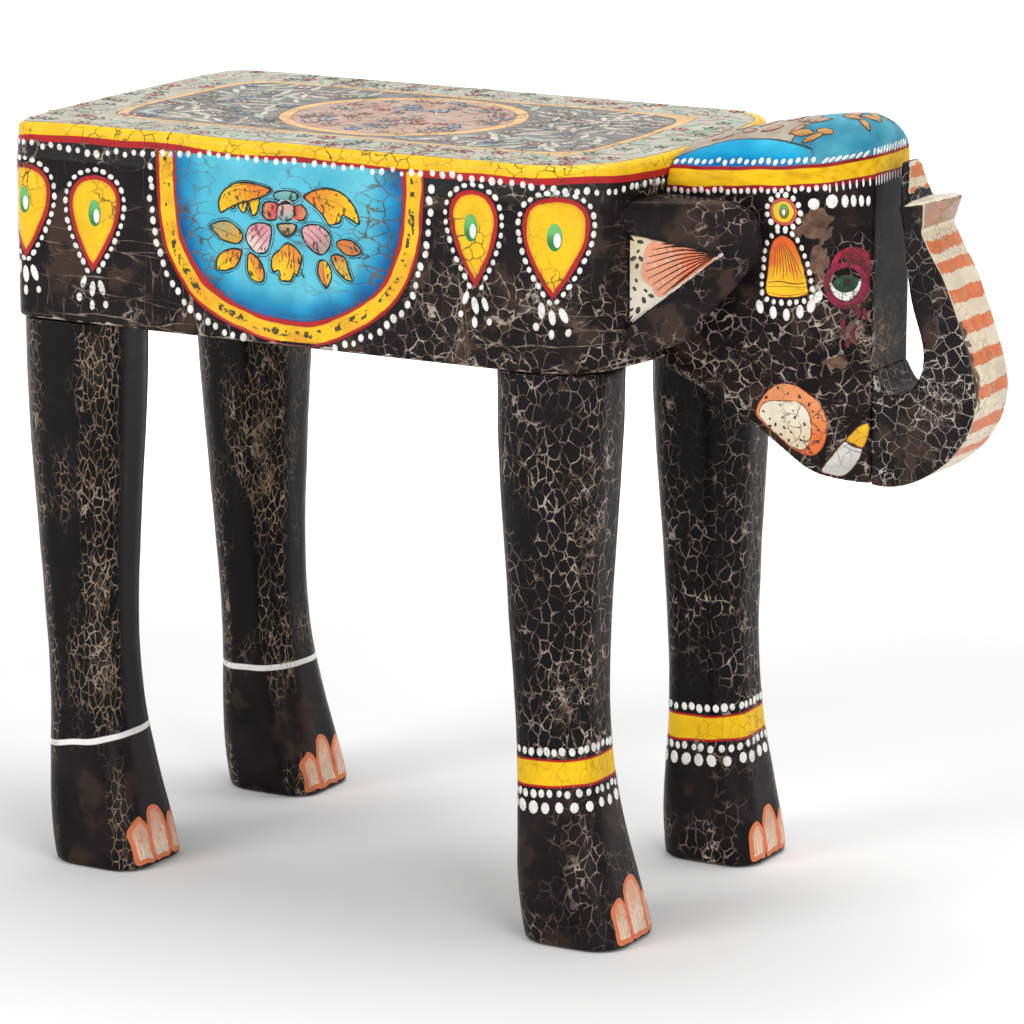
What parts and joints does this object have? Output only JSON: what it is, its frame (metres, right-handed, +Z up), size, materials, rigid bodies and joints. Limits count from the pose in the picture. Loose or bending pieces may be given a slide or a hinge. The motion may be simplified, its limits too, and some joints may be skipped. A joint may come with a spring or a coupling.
{
  "type": "carved elephant stool",
  "caption": "Low stool in the form of a standing elephant: a flat-topped box body is the seat, on carved legs, with a dowelled-on head, upturned trunk and ears, in painted wood.",
  "frame": {"origin": "on the floor, under the middle of the overall length and width", "axes": "+X towards the elephant's head and trunk, +Y towards its left side, +Z up from the floor to the seat"},
  "size_m": [0.5557, 0.2418, 0.4531],
  "materials": {
    "painted_wood": "black and coloured enamel paint over carved wood, crackled and glossy",
    "bare_wood": "sawn or turned, unpainted",
    "screw_steel": "plain steel, slightly tarnished"
  },
  "bodies": {
    "root": {"seat_board": "painted_wood", "side_rail_right": "painted_wood", "side_rail_left": "painted_wood", "end_rail_front": "painted_wood", "end_rail_rear": "painted_wood", "base_board": "painted_wood", "leg_front_right": "painted_wood", "leg_front_left": "painted_wood", "leg_rear_right": "painted_wood", "leg_rear_left": "painted_wood", "head": "painted_wood", "trunk": "painted_wood", "ear_right": "painted_wood", "ear_left": "painted_wood", "corner_block_front_right": "bare_wood", "corner_block_front_left": "bare_wood", "corner_block_rear_right": "bare_wood", "corner_block_rear_left": "bare_wood", "leg_pegs": "bare_wood", "seat_dowels": "bare_wood", "head_dowels": "bare_wood", "trunk_dowels": "bare_wood", "ear_dowels": "bare_wood", "block_screws": "screw_steel", "base_screws": "screw_steel"}
  },
  "joints": []
}
